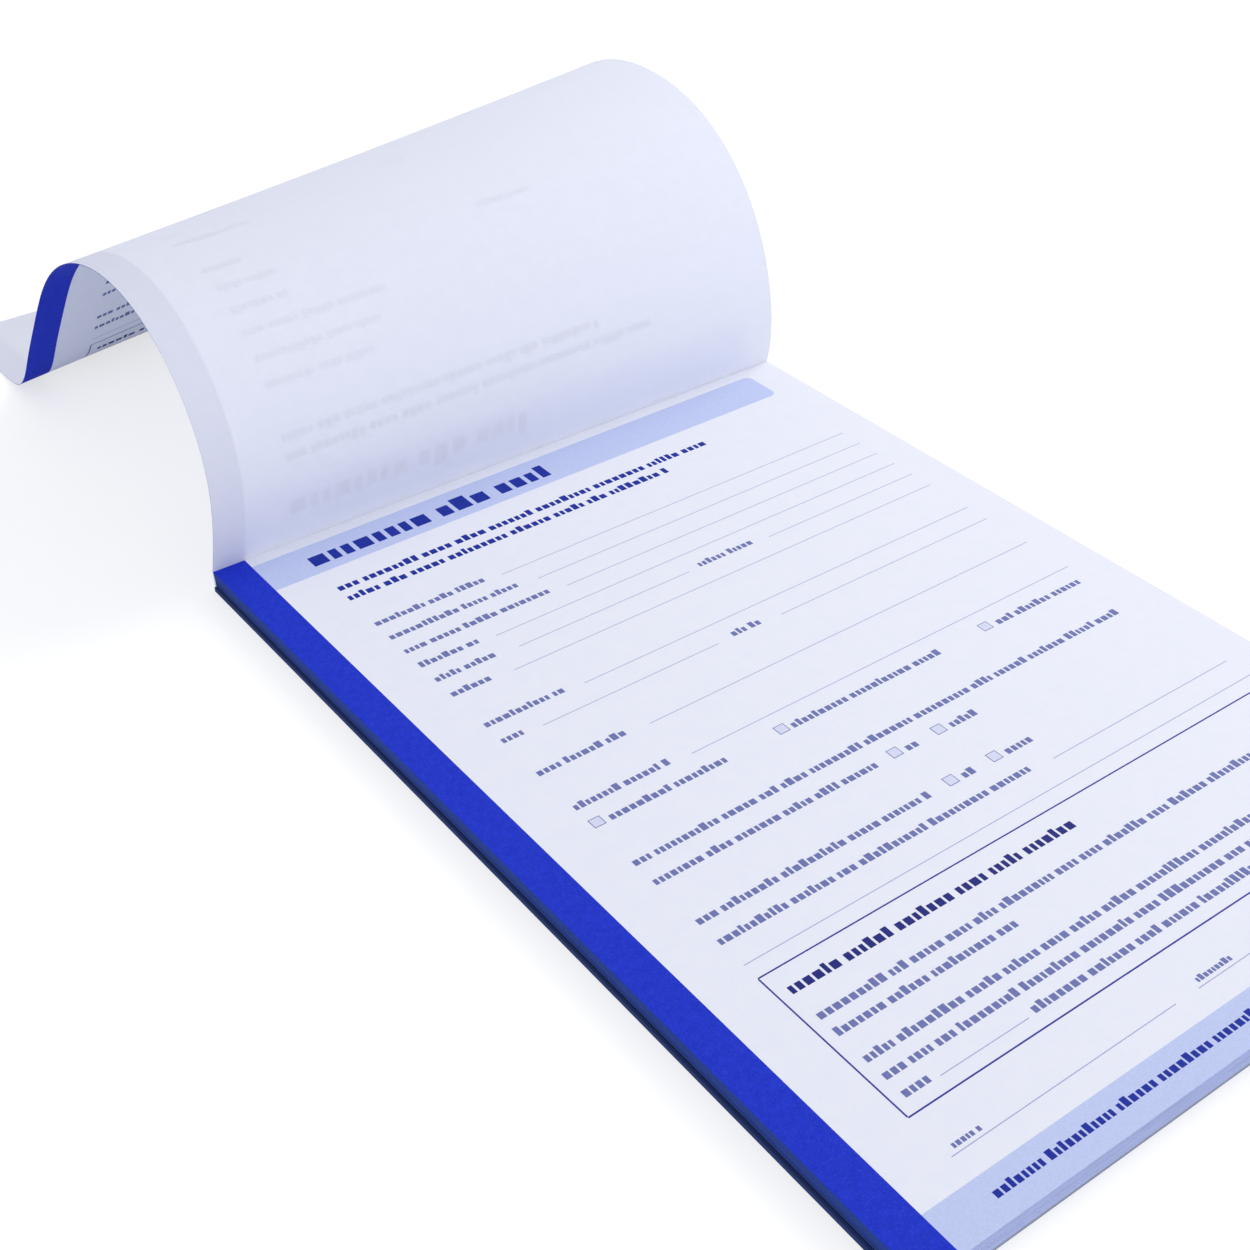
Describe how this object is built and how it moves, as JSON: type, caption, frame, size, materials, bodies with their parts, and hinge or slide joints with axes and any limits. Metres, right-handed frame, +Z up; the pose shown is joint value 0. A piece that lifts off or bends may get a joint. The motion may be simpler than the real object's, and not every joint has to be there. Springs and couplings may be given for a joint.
{
  "type": "registration form pad",
  "caption": "Tear-off pad of printed forms on a grey backing board, glued at the head, with its top leaf turned back over the head in an arch.",
  "frame": {"origin": "on the resting plane, under the middle of the leaves, at the backing board's underside", "axes": "+X across the pad to the writer's right, +Y from the foot of the pad to its glued head, +Z up"},
  "size_m": [0.1516, 0.3583, 0.0641],
  "materials": {
    "paper": "uncoated white writing paper with a blue cast, printed on one side in two blues",
    "board": "grey pulp board, matt, with fine flecks",
    "glue": "thin dried film of white padding glue, slightly glossy",
    "ink": "blue printing ink, matt, no thicker than the eye can see"
  },
  "bodies": {
    "root": {"backing_board": "board", "padding_glue": "glue", "leaf_01": "paper", "leaf_02": "paper", "leaf_03": "paper", "leaf_04": "paper", "leaf_05": "paper", "leaf_06": "paper", "leaf_07": "paper", "leaf_08": "paper", "leaf_09": "paper", "leaf_10": "paper", "leaf_11": "paper", "leaf_12": "paper", "leaf_13": "paper", "leaf_14": "paper", "leaf_15": "paper", "leaf_16": "paper", "leaf_17": "paper", "leaf_18": "paper"},
    "upper_leaves": {"leaf_19": "paper", "leaf_20": "paper", "leaf_21": "paper", "leaf_22": "paper", "leaf_23": "paper", "leaf_24": "paper", "leaf_25": "paper", "leaf_26": "paper", "leaf_27": "paper", "leaf_28": "paper", "leaf_29": "paper", "leaf_30": "paper", "leaf_31": "paper", "leaf_32": "paper", "leaf_33": "paper", "leaf_34": "paper", "leaf_35": "paper", "leaf_36": "paper"},
    "exposed_leaf": {"exposed_leaf": "paper"},
    "turned_leaf": {"turned_leaf": "paper"}
  },
  "joints": [
    {"name": "upper_leaves_lift", "type": "hinge", "parent": "root", "child": "upper_leaves", "pos_m": [0, 0.105, 0.0047], "axis": [-1, 0, 0], "range_deg": [0, 15]},
    {"name": "exposed_leaf_lift", "type": "hinge", "parent": "upper_leaves", "child": "exposed_leaf", "pos_m": [0, 0.105, 0.0047], "axis": [-1, 0, 0], "range_deg": [0, 20]},
    {"name": "turned_leaf_return", "type": "hinge", "parent": "root", "child": "turned_leaf", "pos_m": [0, 0.105, 0.00485], "axis": [1, 0, 0], "range_deg": [0, 35]}
  ]
}
